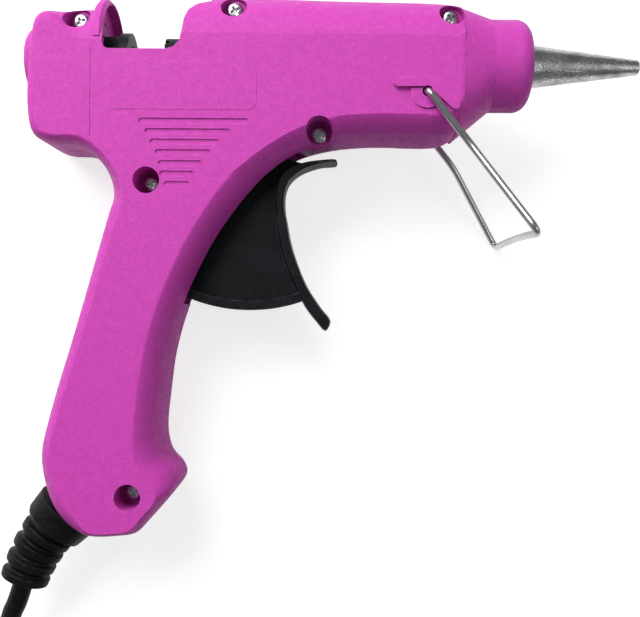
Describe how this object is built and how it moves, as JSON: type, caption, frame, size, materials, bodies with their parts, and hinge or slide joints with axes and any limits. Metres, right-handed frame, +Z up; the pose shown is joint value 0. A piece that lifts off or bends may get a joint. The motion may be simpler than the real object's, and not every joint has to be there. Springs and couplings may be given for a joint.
{
  "type": "hot glue applicator",
  "caption": "Hand-held hot glue applicator in a two-part moulded housing, with a trigger that feeds the stick, a tapered nozzle, a folding wire stand and a mains lead.",
  "frame": {"origin": "bottom centre of the box of the gun without its free lead, as it lies on its left side on a table", "axes": "+X towards the nozzle, along the table; +Y from the handle to the top of the barrel, along the table; +Z up"},
  "size_m": [0.1616, 0.2711, 0.0483],
  "materials": {
    "housing": "fine moulded grain",
    "black_plastic": "satin",
    "black_rubber": "satin",
    "steel": "bright plated",
    "cast_metal": "rough cast",
    "brass": "satin",
    "silicone": "matte",
    "ceramic": "matte ceramic",
    "film": "satin film",
    "wire_sleeve": "matte sleeve"
  },
  "bodies": {
    "housing": {"case_screw_1": "steel", "case_screw_2": "steel", "case_screw_3": "steel", "case_screw_4": "steel", "case_screw_5": "steel", "case_screw_6": "steel", "clamp_screw_1": "steel", "clamp_screw_2": "steel", "cord_clamp": "black_plastic", "cord_coil": "black_rubber", "electrode_lower": "brass", "electrode_upper": "brass", "feed_sleeve": "silicone", "front_guide": "black_plastic", "heater_ceramic": "ceramic", "heater_insulator": "film", "heater_lead_1": "wire_sleeve", "heater_lead_2": "wire_sleeve", "heater_nozzle": "cast_metal", "inner_cord": "black_rubber", "mains_cord": "black_rubber", "plug_blade_1": "brass", "plug_blade_2": "brass", "plug_body": "black_rubber", "return_spring": "steel", "shell_left": "housing", "shell_right": "housing", "sleeve_clamp": "steel", "strain_relief": "black_rubber", "trigger_pin": "steel"},
    "trigger": {"trigger": "black_plastic"},
    "carriage": {"feed_carriage": "black_plastic", "jaw_pin": "steel"},
    "jaw": {"grip_jaw": "steel"},
    "stand": {"stand_wire": "steel"}
  },
  "joints": [
    {"name": "trigger_pull", "type": "hinge", "parent": "housing", "child": "trigger", "pos_m": [-0.01683, 0.0339, 0.01802], "axis": [0.1078, 0.0052, -0.9942], "range_deg": [0, 25], "stiffness_Nm_per_rad": 0.35, "springref_deg": -20.05},
    {"name": "feed_slide", "type": "slide", "parent": "housing", "child": "carriage", "axis": [0.9942, -0.0003, 0.1078], "range_m": [0, 0.0053], "deforming": ["return_spring"]},
    {"name": "jaw_grip", "type": "hinge", "parent": "carriage", "child": "jaw", "pos_m": [-0.05813, 0.04555, 0.0136], "axis": [-0.1078, -0.0052, 0.9942], "range_deg": [0, 8.1]},
    {"name": "stand_fold", "type": "hinge", "parent": "housing", "child": "stand", "pos_m": [0.0233, 0.04639, 0.02243], "axis": [0.1078, 0.0052, -0.9942], "range_deg": [-4, 75]}
  ],
  "couplings": [
    {"joint": "feed_slide", "follows": "trigger_pull", "m_per_rad": 0.012},
    {"joint": "jaw_grip", "follows": "trigger_pull", "ratio": 0.32}
  ]
}
